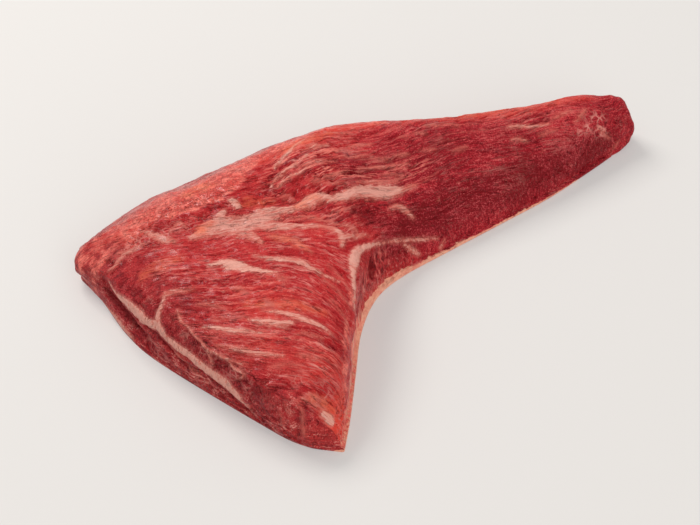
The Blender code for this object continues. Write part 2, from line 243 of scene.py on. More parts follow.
# Brighter, fresher lean on the walls, at the front tip and the cut face's foot: x, y, z, half width.
FRESH_TIP = (
    (1.0, (-36, -116, 8, 4), (-26, -119, 12, 9), (-15, -117, 16, 10), (-10, -110, 24, 5)),
    (0.6, (-112, -62, 3, 2), (-96, -76, 4, 3), (-76, -92, 4, 3), (-58, -104, 4, 3)),
)
# The wall at the inner corner, where the grain ends in upright stripes: x, y, z, half width.
STRIPED = ((1.0, (10, -8, 18, 8), (4, -18, 20, 8), (1, -34, 20, 7), (0, -52, 18, 6)),)
# Brighter, fresher lean seen from above: the shoulder, the cut face's top edge, the far left corner and the
# lobe's front; along the tail's upper edge it is a painted highlight: x, y, half width.
FRESH_AND_LIT_TOP = (
    (0.8, (-66, 40, 4), (-44, 52, 5), (-30, 62, 6), (-12, 73, 4), (10, 81, 3)),
    # along the tail's upper edge: a painted highlight
    (0.55, (14, 82, 3), (34, 87, 5), (60, 92, 6), (90, 98, 6), (112, 106, 5), (132, 112, 3)),
    (0.5, (-100, -64, 3), (-84, -78, 4), (-62, -96, 4)),
    (0.6, (-154, -8, 9), (-140, -6, 12), (-124, 0, 8)),
    (0.35, (-60, -84, 6), (-34, -98, 8), (-14, -98, 6)),
)
# Long parted strands of muscle, up the shoulder, over the tail's crown, beside the central fat and on
# the lobe: x, y, half width.
STRANDED = (
    (1.0, (-48, 20, 5), (-42, 38, 8), (-26, 42, 11), (-8, 42, 11), (14, 44, 9), (34, 50, 6)),
    (0.25, (-30, 62, 5), (0, 66, 9), (40, 74, 9), (90, 90, 8), (124, 104, 5)),
    (0.6, (-60, -4, 6), (-30, 0, 9), (-8, 8, 8)),
    (0.4, (-70, -78, 6), (-46, -84, 12), (-26, -88, 12), (-14, -92, 7)),
    (0.35, (-118, -34, 5), (-96, -46, 12), (-70, -52, 12), (-40, -56, 10), (-16, -62, 6)),
)
# Corners of the tail's blunt end, drawn out a little: x, y, z, width, then the move.
CORNERS = (
    (150.5, 112.5, 30, 5, 1.8, 0.4, 1.2), (155, 110, 23, 5, 1.0, 0.2, 0.5),
    (158.5, 106.5, 14, 5, 1.2, 0.2, 0.2),
)
# Fat and veil stained orange: x, y, half width.
AMBER = (
    (1.0, (-89, -11, 1), (-86, -9, 2.6), (-82, -6, 1.8)),
    (0.8, (-66, 9, 1), (-61, 10, 2.2), (-55, 9, 2), (-49, 10, 1)),
    (0.8, (-36, 6, 1), (-31, 9, 3), (-26, 13, 3)),
    (0.9, (-50, -16, 0.6), (-42, -18, 2), (-36, -21, 1.8), (-30, -25, 0.8)),
    (0.7, (-44, 49, 1), (-37, 54, 2.4), (-28, 61, 2.6), (-19, 66, 1.4)),
    (0.8, (-98, 20, 2), (-91, 23, 4), (-84, 26, 3)),
    (0.6, (-118, -34, 2), (-108, -30, 3), (-98, -28, 2)),
    (0.6, (-60, -62, 2), (-46, -63, 3), (-32, -64, 2.4), (-20, -68, 1)),
    (0.6, (-24, -114, 3), (-17, -116, 3)),
    (0.5, (40, 88, 2), (70, 95, 3), (112, 107, 3)),
)
# How high the fat cap's rim shows along its inner edge: x, then height.
RIM_HEIGHT = ((-10, 5.2), (12, 5.2), (28, 4.2), (42, 3.0), (80, 2.6), (118, 2.4), (132, 0))
# How high the pale side of the fat cap, in part painted light, shows on the lobe's right wall: y, then z.
SIDE_FAT_AND_LIGHT = ((-122, 6), (-110, 11), (-95, 15), (-80, 18), (-68, 23), (-60, 29), (-50, 24), (-40, 14), (-28, 8))
# Where fibres lie loosest: around the fat between the corners, along the cut face's top edge and, a
# little, on the lobe: x, y, half width.
ROUGH = (
    (1.0, (-136, -14, 4), (-112, 0, 9), (-84, 2, 12), (-52, 8, 16), (-30, 22, 18), (-6, 20, 14),
     (10, 26, 8)),
    (0.8, (-128, -38, 3), (-100, -62, 4), (-70, -92, 5), (-40, -112, 6), (-16, -112, 8)),
    (0.3, (-112, -38, 5), (-74, -58, 12), (-38, -82, 12), (-16, -88, 8)),
)
# Grooves sunk below the skin: depth in mm in place of strength, then x, y, z, half width.
GROOVES = (
    (2.4, (-145, -19, 17, 0), (-142, -22, 15, 1.2), (-138, -26, 13, 2), (-132, -33, 13, 2.2),
     (-127, -40, 12, 2), (-122, -46, 11, 1.8), (-116, -53, 12, 1.2)),
    (2.0, (-116, -55, 20, 0.8), (-110, -61, 21, 1.2), (-104, -67, 18, 1.2), (-98, -73, 15, 1.2),
     (-91, -79, 15, 1.2), (-85, -85, 16, 1.4), (-78, -91, 16, 1.6), (-73, -94, 13, 1.6), (-67, -98, 7, 1.3),
     (-58, -104, 4, 1)),
    (1.2, (-80, -87, 30, 0.6), (-71, -94, 29, 0.9), (-62, -101, 26, 0.8)),
    (2.0, (5, -13, 28, 1.6), (5.5, -12, 22, 2.8), (6, -12, 15, 2.2)),
    (1.4, (-36, -115, 28, 0.6), (-34, -120, 21, 1.1), (-34, -122, 10, 0.9)),
    (1.7, (-44, -2, 48, 0.4), (-34, 0, 48, 0.8), (-22, 1, 48, 0.8), (-12, 3, 48, 0.4)),
    (1.6, (-55, -14, 48, 0.4), (-46, -14, 48, 0.8), (-36, -14, 48, 0.7), (-26, -13, 48, 0.3)),
    (1.5, (-40, 8, 48, 0.3), (-30, 3, 48, 0.6), (-18, 9, 48, 0.6), (-6, 14, 46, 0.4)),
    (1.5, (-46, 24, 48, 0.3), (-42, 31, 48, 0.6), (-36, 37, 48, 0.5), (-30, 41, 48, 0.3)),
    (1.4, (-42, 21, 48, 0.3), (-36, 27, 48, 0.6), (-28, 32, 48, 0.6), (-16, 34, 47, 0.3)),
    (1.4, (-24, 47, 48, 0.3), (-8, 48, 47, 0.6), (8, 50, 45, 0.4)),
    (1.4, (-14, 37, 47, 0.3), (-2, 38, 46, 0.7), (14, 42, 43, 0.4)),
    (1.2, (-8, 12, 44, 0.6), (0, 9, 41, 1.4), (8, 10, 36, 1.2), (14, 13, 32, 0.6)),
    (0.9, (-104, 1, 44, 0.5), (-97, 2, 45, 1), (-90, 3, 45, 0.5)),
)


def smooth_step(low, high, value):
    """0 below low, 1 above high, an S-curve between them."""
    t = np.clip((value - low) / (high - low), 0, 1)
    return t * t * (3 - 2 * t)


def smooth_route(route, steps=5):
    """A Catmull-Rom curve through a route's places and widths."""
    places = np.array(route, float)
    if len(places) < 3:
        return places
    padded = np.vstack([2 * places[0] - places[1], places, 2 * places[-1] - places[-2]])
    curve = []
    for before, start, end, after in zip(padded, padded[1:], padded[2:], padded[3:]):
        for t in np.arange(steps) / steps:
            slope = (end - before) * t + (2 * before - 5 * start + 4 * end - after) * t * t
            curve.append(start + 0.5 * (slope + (3 * start - before - 3 * end + after) * t ** 3))
    curve.append(places[-1])
    return np.array(curve)


def depth_inside(points, route):
    """How far inside a tapering streak each point lies, in mm, and the streak's half width there."""
    curve = smooth_route(route)
    spots, widths = curve[:, :-1], curve[:, -1]
    at = points[:, :spots.shape[1]]
    best = np.full(len(points), -1e3)
    broad = np.zeros(len(points))
    for start, end, width_a, width_b in zip(spots, spots[1:], widths, widths[1:]):
        run = end - start
        share = np.clip(((at - start) @ run) / (run @ run), 0, 1)
        width = width_a + (width_b - width_a) * share
        inside = width - np.linalg.norm(at - start - share[:, None] * run, axis=1)
        broad = np.where(inside > best, width, broad)
        best = np.maximum(best, inside)
    return best, broad


def carved(points, grooves):
    """How deep the grooves lie at each point, in mm."""
    depth = np.zeros(len(points))
    for deepest, *route in grooves:
        inside, _ = depth_inside(points, route)
        depth = np.maximum(depth, deepest * smooth_step(*GROOVE_EDGE, inside))
    return depth


def streak_layers(points, streaks, reach=6.0, least=0.0):
    """The deepest streak at each point, in mm, how white it is and how far its edge frays.

    Streaks thinner than least are widened towards it, so that the skin's points still catch them.
    """
    depth = np.full(len(points), -reach)
    white = np.zeros(len(points))
    fray = np.zeros(len(points))
    weight = np.full(len(points), 1e-6)
    for strength, *route in streaks:
        inside, width = depth_inside(points, route)
        inside = inside + np.hypot(width, least) - width
        depth = np.maximum(depth, inside)
        pull = np.exp(np.clip(inside, -reach, reach))
        white += pull * strength
        fray += pull * np.clip(FRAY_START + FRAY_PER_MM * width, 0, FRAY_MOST)
        weight += pull
    return depth, white / weight, fray / weight


def fibre_field(points):
    """Distance across the grain in mm: fibres are its level lines at every guide."""
    guides = np.array(FIBRE_GUIDES, float)
    centres = guides[:, :2]
    headings = np.radians(guides[:, 2])
    square = np.stack([-np.sin(headings), np.cos(headings)], 1)
    reach = FIBRE_REACH
    count = len(centres)

    def bells(at):
        gap = at[:, None] - centres[None]
        return gap, np.exp(-(gap ** 2).sum(2) / (2 * reach ** 2))

    gap, bell = bells(centres)
    slope = np.einsum("nki,nkj->nkij", gap, gap) / reach ** 4 - np.eye(2) / reach ** 2
    slope = slope * bell[..., None, None]
    matrix = slope.transpose(0, 3, 1, 2).reshape(2 * count, 2 * count)
    matrix = np.hstack([matrix, np.tile(np.eye(2) / reach, (count, 1))])
    damping = FIBRE_EASE / reach ** 2 * np.eye(2 * count + 2)
    damping[-2:] = 0
    goal = np.concatenate([square.reshape(-1), np.zeros(2 * count + 2)])
    weights = np.linalg.lstsq(np.vstack([matrix, damping]), goal, rcond=None)[0]
    gap, bell = bells(points[:, :2])
    value = -gap / reach ** 2 * bell[..., None]
    pairs = weights[:-2].reshape(count, 2)
    return np.einsum("nki,ki->n", value, pairs) + points[:, :2] @ (weights[-2:] / reach)


# ---------------------------------------------------------------- node helpers

def forward(operation):
    """The operation with a node's output first."""
    return lambda value, other: value.tree.math(operation, value, other)


def backward(operation):
    """The operation with a node's output second, after a plain number."""
    return lambda value, other: value.tree.math(operation, other, value)


class Value:
    """A node's output, reckoned with as a number is."""

    def __init__(self, tree, socket):
        self.tree = tree
        self.socket = socket

    __add__ = forward("ADD")
    __sub__ = forward("SUBTRACT")
    __mul__ = forward("MULTIPLY")
    __truediv__ = forward("DIVIDE")
    __pow__ = forward("POWER")
    __rsub__ = backward("SUBTRACT")
    __rtruediv__ = backward("DIVIDE")

    def __abs__(self):
        return self.tree.math("ABSOLUTE", self)


class Tree:
    """Adds nodes to a node tree; an input is another node's output or a plain value."""

    def __init__(self, tree):
        self.tree = tree

    def add(self, kind, inputs=(), **settings):
        node = self.tree.nodes.new(kind)
        for name, value in settings.items():
            setattr(node, name, value)
        for key, value in dict(inputs).items():
            if isinstance(value, Value):
                self.tree.links.new(value.socket, node.inputs[key])
            else:
                node.inputs[key].default_value = value
        return node

    def get(self, kind, output=0, inputs=(), **settings):
        """The named or numbered output of a new node."""
        return Value(self, self.add(kind, inputs, **settings).outputs[output])

    def given(self):
        """The group's own inputs by name."""
        return {socket.name: Value(self, socket) for socket in self.add("NodeGroupInput").outputs}

    def math(self, operation, *values):
        return self.get("ShaderNodeMath", 0, enumerate(values), operation=operation)

    def most(self, first, *others):
        """The largest of several values."""
        for other in others:
            first = self.math("MAXIMUM", first, other)
        return first

    def step(self, value, low, high, start=0.0, end=1.0):
        """start below low, end above high, with an S-curve between."""
        return self.get("ShaderNodeMapRange", "Result", {
            "Value": value, "From Min": low, "From Max": high, "To Min": start, "To Max": end},
            interpolation_type="SMOOTHSTEP")

    def mix(self, share, first, second):
        """Two colours mixed."""
        return self.get("ShaderNodeMix", 2, {0: share, 6: first, 7: second}, data_type="RGBA")

    def blend(self, share, first, second):
        """Two values mixed."""
        return self.get("ShaderNodeMix", 0, {0: share, 2: first, 3: second}, data_type="FLOAT")

    def tones(self, value, low, high, dark, mid, pale):
        """Three colours, dark below low and pale above high."""
        half = (low + high) / 2
        return self.mix(self.step(value, half, high), self.mix(self.step(value, low, half), dark, mid), pale)

    def noise(self, vector, scale, detail=2.0, rough=0.5):
        return self.get("ShaderNodeTexNoise", 0, {
            "Vector": vector, "Scale": scale, "Detail": detail, "Roughness": rough})

    def attribute(self, name):
        return self.get("ShaderNodeAttribute", "Fac", attribute_name=name)

    def xyz(self, *parts):
        return self.get("ShaderNodeCombineXYZ", 0, enumerate(parts))

    def split(self, vector):
        parts = self.add("ShaderNodeSeparateXYZ", {"Vector": vector}).outputs
        return [Value(self, part) for part in parts]

    def grain(self, place, across, wall, width, length, seed, upright_share, detail, rough):
        """Noise drawn out along the grain, and upright on walls; across, width and length in mm."""
        x, y, z = self.split(place)
        along = 1 / MM / length
        beside = upright_share / MM / width
        lying = self.xyz(x * along, y * along, across / width + seed)
        upright = self.xyz(x * beside + seed, y * beside, z * (along * 2))
        return self.blend(wall, *(self.noise(at, 1.0, detail, rough) for at in (lying, upright)))


def new_group(kind, name, inputs, outputs):
    """A node group; a socket is given as a float's default, or as the name of another kind."""
    group = bpy.data.node_groups.new(name, kind)
    for way, sockets in (("INPUT", inputs), ("OUTPUT", outputs)):
        for label, given in sockets.items():
            other = isinstance(given, str)
            socket = group.interface.new_socket(
                label, in_out=way, socket_type=given if other else "NodeSocketFloat")
            if not other:
                socket.default_value = given
    return group


def new_material(name):
    """An empty material and the tree its nodes go into."""
    material = bpy.data.materials.new(name)
    material.use_nodes = True
    material.node_tree.nodes.clear()
    return material, Tree(material.node_tree)


def fibre_pattern_group():
    """Noise drawn out along the grain, Width across a fibre and Length along it in mm, and its thin lines."""
    group = new_group(
        "ShaderNodeTree", "fibre_pattern",
        {"Width": 2.0, "Length": 20.0, "Detail": 2.0, "Wobble": 1.0, "Line": 0.05, "Seed": 0.0},
        {"Value": 0.0, "Lines": 0.0})
    n = Tree(group)
    start = n.given()
    place = n.get("ShaderNodeTexCoord", "Object")
    wander = n.noise(place, 90.0, 1.0) - 0.5
    across = wander * (start["Wobble"] * 2) + n.attribute("across")
    value = n.grain(
        place, across, n.attribute("wall"), start["Width"], start["Length"], start["Seed"],
        1 / 1.3, start["Detail"], 0.55)
    lines = n.step(abs(value - 0.5), 0.0, start["Line"], 1.0, 0.0)
    n.add("NodeGroupOutput", {"Value": value, "Lines": lines})
    return group


def colour(red, green, blue):
    """A linear colour from screen values of 0 to 255."""
    values = []
    for screen in (red, green, blue):
        share = screen / 255
        values.append(share / 12.92 if share <= 0.04045 else ((share + 0.055) / 1.055) ** 2.4)
    return (*values, 1.0)


def raw_beef_material(colours):
    """Lean meat with marbling, fat and silverskin, and shade and light painted into its colour, all led by
    the skin's own attributes.
    """
    material, n = new_material("raw_beef")
    pattern = fibre_pattern_group()

    def fibres(width, length, detail=2.0, seed=0.0, wobble=1.0, line=0.05, output="Value"):
        return n.get("ShaderNodeGroup", output, {
            "Width": width, "Length": length, "Detail": detail, "Seed": seed, "Wobble": wobble, "Line": line},
            node_tree=pattern)

    place = n.get("ShaderNodeTexCoord", "Object")
    fat, white, fray, membrane, face, deep_and_shade, tail, wall = (n.attribute(name) for name in (
        "fat", "fat_white", "fat_fray", "membrane", "cut_face", "deep_lean_and_shade", "tail", "wall"))

    # lean: broad patches, then fibres of three widths and a fine grain
    broad = n.noise(place, 30.0, 3.0, 0.55)
    patches = n.noise(place, 150.0)
    uneven = patches - 0.5
    coarse = fibres(4.0, 40.0, 2.0, 3.0)
    middle = fibres(1.2, 15.0, 3.0, 11.0)
    fine = fibres(0.55, 3.6, 2.0, 29.0)
    speck = n.noise(place, 1250.0, 2.0, 0.7)
    tone = coarse * 0.3 + middle * 0.45 + fine * 0.4 + speck * 0.5 + broad * 0.45
    lean = n.tones(tone, 0.90, 1.34, colours.dark_lean, colours.lean, colours.pale_lean)
    lean = n.mix(n.step(broad, 0.50, 0.72, 0.0, 0.55), lean, colours.bright_lean)
    tail_tone = speck * 0.75 + middle * 0.35 + fine * 0.3 + broad * 0.4
    tail_lean = n.tones(tail_tone, 0.83, 1.03, colours.deep_lean_and_shade, colours.crimson, colours.tail_pale)
    lean = n.mix(tail * 0.9, lean, tail_lean)
    # brighter, fresher lean, and a painted highlight along the tail's upper edge
    lean = n.mix(n.attribute("fresh_and_lit") * n.step(tone, 0.8, 1.2, 0.45, 0.9), lean, colours.fresh_and_lit_lean)
    strand = (fine - 0.5) * 0.4 + fibres(1.5, 30.0, 3.0, 151.0, 0.9)
    strand_lean = n.tones(strand, 0.40, 0.62, colours.deep_lean_and_shade, lean, colours.veil)
    lean = n.mix(n.attribute("stranded") * 0.95, lean, strand_lean)

    # the cut face: mottled, with the lower tier drawn out along its edge
    x, y, z = n.split(place)
    along_face = x * 0.77 - y * 0.64
    tier_grain = n.noise(n.xyz(along_face * 90, z * 700, 3.0), 1.0, 3.0, 0.6)
    tier = n.step(z, 14 * MM, 20 * MM, 1.0, 0.0)
    mottle = patches * 0.6 + speck * 0.6 + (tier_grain - 0.5) * tier * 1.1
    face_lean = n.tones(mottle, 0.46, 0.86, colours.face_dark, colours.face_lean, colours.marbling)
    lean = n.mix(face * 0.85, lean, face_lean)
    # painted shade: darker lean where the shade mask lies, darkest in the crease colour
    deep_and_shaded_tones = n.tones(tail_tone, 0.82, 1.02, colours.crease, colours.deep_lean_and_shade, colours.deep_and_shaded_grain)
    lean = n.mix(deep_and_shade * 0.85, lean, deep_and_shaded_tones)

    stripes = n.noise(n.xyz(x * 620, y * 620, z * 60), 1.0)
    striped_lean = n.tones(stripes, 0.36, 0.70, colours.crease, colours.face_lean, colours.veil)
    lean = n.mix(n.attribute("striped") * 0.85, lean, striped_lean)

    # marbling: a few long thin lines, and short fine flecks between them, in drifts
    drift = n.noise(place, 42.0)
    quiet = n.most(deep_and_shade * 0.7, tail * 0.6, face * 0.8)
    calm = (1 - membrane * 0.85) * (1 - quiet)
    gate = n.step(fibres(3.0, 20.0, 1.0, 61.0) * 0.6 + drift * 0.5, 0.57, 0.70)
    long_lines = fibres(3.0, 60.0, 2.0, 47.0, 1.2, 0.035, "Lines") * gate
    fleck_gate = n.step(fibres(1.2, 5.0, 1.0, 83.0) * 0.7 + drift * 0.45, 0.56, 0.70)
    flecks = fibres(0.9, 9.0, 2.0, 71.0, 0.8, 0.10, "Lines") * fleck_gate
    grains = n.step(speck * 0.75 + fine * 0.35, 0.64, 0.74)
    cells = n.get("ShaderNodeTexVoronoi", "Distance", {"Vector": place, "Scale": 260.0},
                  feature="DISTANCE_TO_EDGE")
    web_lines = n.step(cells + (speck - 0.5) * 0.35, 0.02, 0.16, 1.0, 0.0)
    web = web_lines * n.attribute("web") * n.step(patches, 0.38, 0.56)
    lines = n.most(long_lines * 0.75, flecks * 0.4) * calm
    marbling = n.most(lines, grains * (0.26 - quiet * 0.1), web * 0.8)
    skin = n.mix(marbling, lean, colours.marbling)

    # creases where fibres part, and pits: sunk in the bump and darkened with painted shade
    crease_gate = n.step(n.attribute("rough") * 0.12 + fibres(2.4, 8.0, 1.0, 97.0), 0.56, 0.66)
    creases = fibres(2.0, 16.0, 2.0, 91.0, 1.0, 0.04, "Lines") * crease_gate
    pits = n.step(n.noise(place, 560.0, 1.0) - membrane * 0.04, 0.30, 0.22)
    dents = n.most(creases, pits * 0.7)
    skin = n.mix(dents * 0.42, skin, colours.crease)

    # membrane: pale pink, smooth and wet, drawn into small wrinkles whose valleys are darkened with painted
    # shade
    wrinkles = n.noise(place, 330.0, 3.0, 0.6)
    folds = n.step(abs(wrinkles - 0.5), 0.0, 0.055, 1.0, 0.0)
    veil_tone = patches * 0.5 + wrinkles * 0.4 + speck * 0.3
    veil = n.mix(n.step(veil_tone, 0.46, 0.70), colours.membrane_dark, colours.membrane)
    veil = n.mix(folds * 0.35, veil, colours.crease)
    ragged = membrane + uneven * 1.2 + (middle - 0.5) * 0.8
    veil_share = n.step(ragged, 0.30, 0.75, 0.0, 0.85) * (1 - dents * 0.6)
    # this also lays the painted light down the lobe's right edge
    skin = n.mix(veil_share, skin, veil)

    # the fat cap's side: pale, streaked upright; on the lobe's right wall partly painted light
    side_colour = n.mix(n.step(stripes, 0.40, 0.68), colours.membrane, colours.rim)
    side_edge = n.attribute("side_fat_and_light") + (stripes - 0.5) * 1.1 + uneven * 0.9
    skin = n.mix(n.step(side_edge, 0.2, 1.0, 0.0, 0.75), skin, side_colour)

    # fat: the laid seams and streaks with crisp frayed edges and a thin pink halo
    feather = fibres(1.5, 11.0, 3.0, 131.0) - 0.5
    strands = fibres(0.7, 6.0, 2.0, 137.0) - 0.5
    rough_edge = n.noise(place, 480.0, 3.0, 0.65) - 0.5
    along_grain = (strands * 3.5 + feather * 5) * (1 - face * 0.85)
    edge = along_grain * fray + fat + rough_edge * (2.8 - face * 1.4)
    thin = n.step(white + strands * 0.7 + feather * 0.8, 0.30, 0.8, 0.55, 1.0)
    core = n.step(edge, -0.1, 0.6) * thin * white ** 0.7
    halo = n.step(edge, -1.6, 0.2, 0.0, 0.4) * white
    fat_tone = fine * 0.45 + middle * 0.45 + edge * 0.03 + white * 0.45
    fat_colour = n.mix(n.step(fat_tone, 0.76, 0.94), colours.fat_pink, colours.fat)
    skin = n.mix(n.most(core, halo), skin, fat_colour)
    stain = n.step(middle * 0.6 + patches * 0.5, 0.42, 0.66, 0.1, 0.75)
    skin = n.mix(n.attribute("amber") * stain, skin, colours.amber)

    # silverskin on the back, and the rim of the fat cap
    silver_edge = n.attribute("silver") + (broad - 0.5) * 2.4 + uneven * 1.2
    skin = n.mix(n.step(silver_edge, 0.3, 1.0, 0.0, 0.5), skin, colours.silverskin)
    rim_edge = n.attribute("rim") + uneven * 2.6 + rough_edge * 2
    rim_tone = patches * 0.5 + n.noise(place, 420.0) * 0.5
    rim_colour = n.mix(n.step(rim_tone, 0.34, 0.60), colours.rim_shade, colours.rim)
    skin = n.mix(n.step(rim_edge, -0.3, 0.4, 0.0, 0.95), skin, rim_colour)

    # painted shade: the bottoms of the grooves are darkened
    skin = n.mix(n.attribute("sunk") * 0.75, skin, colours.crease)

    # bump: fibres and pits finer than the mesh
    height = middle * 0.8 + fine * 0.5 + speck * 0.35 - dents * 0.45 + core * 0.25
    height = height - folds * membrane * 0.22
    bump = n.get("ShaderNodeBump", 0, {"Height": height, "Strength": 1.0, "Distance": 1.3 * MM})

    # a wet film, broken in dents and on the walls
    wet = n.noise(place, 210.0, 3.0, 0.6)
    rough = n.step(wet - membrane * 0.12, 0.30, 0.66, 0.30, 0.5)
    dry = n.most(dents * 0.9, deep_and_shade * 0.5, wall * 0.6)
    film = n.step(wet + membrane * 0.1, 0.42, 0.68, 0.06, 0.38) * (1 - dry)
    shader = n.get("ShaderNodeBsdfPrincipled", 0, {
        "Base Color": skin, "Roughness": rough, "Normal": bump, "IOR": 1.40,
        "Specular IOR Level": 0.13, "Coat Weight": film, "Coat Roughness": 0.16, "Coat IOR": 1.35})
    n.add("ShaderNodeOutputMaterial", {"Surface": shader})
    return material


def fat_cap_material(colours):
    """The flat underside: the cap of firm fat the meat lies on, with lean showing through."""
    material, n = new_material("fat_cap")
    place = n.get("ShaderNodeTexCoord", "Object")
    broad = n.noise(place, 26.0, 3.0, 0.55)
    grains = n.noise(place, 240.0, 3.0, 0.6)
    base = n.mix(n.step(grains, 0.4, 0.62), colours.cap_shade, colours.cap)
    window = n.step(grains * 0.25 + broad, 0.74, 0.82, 0.0, 0.7)
    skin = n.mix(window, base, colours.lean)
    bump = n.get("ShaderNodeBump", 0, {"Height": grains, "Strength": 0.7, "Distance": 1.2 * MM})
    shader = n.get("ShaderNodeBsdfPrincipled", 0, {
        "Base Color": skin, "Roughness": n.step(broad, 0.3, 0.7, 0.42, 0.6), "Normal": bump})
    n.add("ShaderNodeOutputMaterial", {"Surface": shader})
    return material


def floor_material(tint, glow):
    """Matt white board, very slightly uneven, lit a little from below."""
    material, n = new_material("floor")
    shade = n.noise(n.get("ShaderNodeTexCoord", "Object"), 6.0)
    darker = [part * 0.99 for part in tint[:3]] + [1]
    shader = n.get("ShaderNodeBsdfPrincipled", 0, {
        "Base Color": n.mix(shade, tint, darker), "Roughness": 0.9, "Specular IOR Level": 0.1,
        "Emission Color": (0.95, 0.98, 1.0, 1), "Emission Strength": glow})
    n.add("ShaderNodeOutputMaterial", {"Surface": shader})
    return material


# ---------------------------------------------------------------- the meat's skin

def fibre_relief_tree():
    """Raises fibres and sinks creases along the grain, on a mesh that carries its across attribute."""
    group = new_group(
        "GeometryNodeTree", "fibre_relief",
        {"Geometry": "NodeSocketGeometry", "Fibre Height": 0.5 * MM, "Fibre Width": 2.8,
         "Fibre Length": 24.0, "Crease Depth": 0.6 * MM, "Lump Height": 0.5 * MM, "Crag Depth": 1.0 * MM,
         "Seed": 5.0, "Material": "NodeSocketMaterial"},
        {"Geometry": "NodeSocketGeometry"})
    n = Tree(group)
    start = n.given()
    place = n.get("GeometryNodeInputPosition")

    def named(name):
        return n.get("GeometryNodeInputNamedAttribute", "Attribute", {"Name": name}, data_type="FLOAT")

    def fibres(wider, longer, seed):
        """Noise either side of 0, along fibres so many times wider and longer than the bundles."""
        return n.grain(
            place, named("across"), named("wall"), start["Fibre Width"] * wider,
            start["Fibre Length"] * longer, start["Seed"] + seed, 0.6, 1.0, 0.5) - 0.5

    ridges = (fibres(2.2, 1.8, 1.0) * 1.6 + fibres(1.0, 1.0, 20.0)) * start["Fibre Height"]
    gate = n.step(fibres(1.4, 0.5, 60.0), -0.05, 0.1)
    sunk = n.step(abs(fibres(1.8, 0.9, 40.0)), 0.0, 0.07, 1.0, 0.0) * gate * start["Crease Depth"]
    lumps = (n.noise(place, 190.0) - 0.5) * start["Lump Height"]
    loose = named("rough") * n.step(named("fat"), -1.0, 1.0, 1.0, 0.15)
    crags = n.step(abs(fibres(2.6, 0.6, 80.0)), 0.0, 0.08, -1.0, 0.0) * loose * start["Crag Depth"]
    fibrous = (ridges - sunk) * named("fibrous") + crags
    height = (fibrous + lumps + named("proud")) * named("relief")
    normal = n.get("GeometryNodeInputNormal")
    offset = n.get("ShaderNodeVectorMath", 0, {0: normal, "Scale": height}, operation="SCALE")
    moved = n.get("GeometryNodeSetPosition", 0, {"Geometry": start["Geometry"], "Offset": offset})
    whole = n.get("GeometryNodeRealizeInstances", 0, {"Geometry": moved})
    painted = n.get("GeometryNodeSetMaterial", 0, {"Geometry": whole, "Material": start["Material"]})
    n.add("NodeGroupOutput", {"Geometry": painted})
    return group


def set_inputs(modifier, values):
    """A modifier's inputs by name, set through each socket's identifier."""
    for item in modifier.node_group.interface.items_tree:
        if item.item_type == "SOCKET" and item.in_out == "INPUT" and item.name in values:
            modifier[item.identifier] = values[item.name]


def placed(name, data):
    """A new object in the scene."""
    item = bpy.data.objects.new(name, data)
    bpy.context.scene.collection.objects.link(item)
    return item


def apply_modifier(piece, modifier, name):
    """Gives the piece a plain mesh with its one modifier applied, and takes the modifier away."""
    graph = bpy.context.evaluated_depsgraph_get()
    graph.update()
    mesh = bpy.data.meshes.new_from_object(
        piece.evaluated_get(graph), preserve_all_data_layers=True, depsgraph=graph)
    mesh.name = name
    piece.modifiers.remove(modifier)
    piece.data = mesh
    return mesh


def open_skin(node):
    """The solid's skin without its flat underside, in quads where its triangles pair up."""
    bm = bmesh.new()
    bm.from_mesh(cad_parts[node].data)
    bmesh.ops.remove_doubles(bm, verts=bm.verts[:], dist=WELD)
    under = [f for f in bm.faces if all(v.co.z < LOW.z + FLAT for v in f.verts)]
    bmesh.ops.delete(bm, geom=under, context="FACES")
    bmesh.ops.join_triangles(
        bm, faces=bm.faces[:], angle_face_threshold=math.radians(PAIR_BEND),
        angle_shape_threshold=math.radians(PAIR_SKEW))
    crease = bm.edges.layers.float.new("crease_edge")
    for edge in bm.edges:
        bend = math.degrees(edge.calc_face_angle(0.0))
        edge[crease] = min(max((bend - SOFT_BEND) / (SHARP_BEND - SOFT_BEND), 0.0), SHARPEST)
    mesh = bpy.data.meshes.new("meat_skin")
    bm.to_mesh(mesh)
    bm.free()
    return mesh


def spread_map(piece):
    """Unwraps the open skin as one sheet, without scattered scraps."""
    bpy.context.view_layer.objects.active = piece
    piece.select_set(True)
    piece.data.uv_layers.new(name=MAP)
    bpy.ops.object.mode_set(mode="EDIT")
    bpy.ops.mesh.select_all(action="SELECT")
    bpy.ops.uv.unwrap(method="ANGLE_BASED", margin=0.002)
    bpy.ops.object.mode_set(mode="OBJECT")
    piece.select_set(False)


def point_values(mesh, kind):
    """The places or normals of the mesh's points."""
    values = np.zeros(len(mesh.vertices) * 3, np.float32)
    mesh.vertices.foreach_get(kind, values)
    return values.reshape(-1, 3).astype(float)


def draw_corners(mesh):
    """Draws out the corners of the tail's end."""
    points = point_values(mesh, "co") / MM
    for x, y, z, width, *move in CORNERS:
        gap = np.linalg.norm(points - (x, y, z), axis=1)
        points += np.exp(-(gap / width) ** 2)[:, None] * np.array(move)
    mesh.vertices.foreach_set("co", (points * MM).astype(np.float32).ravel())
    mesh.update()


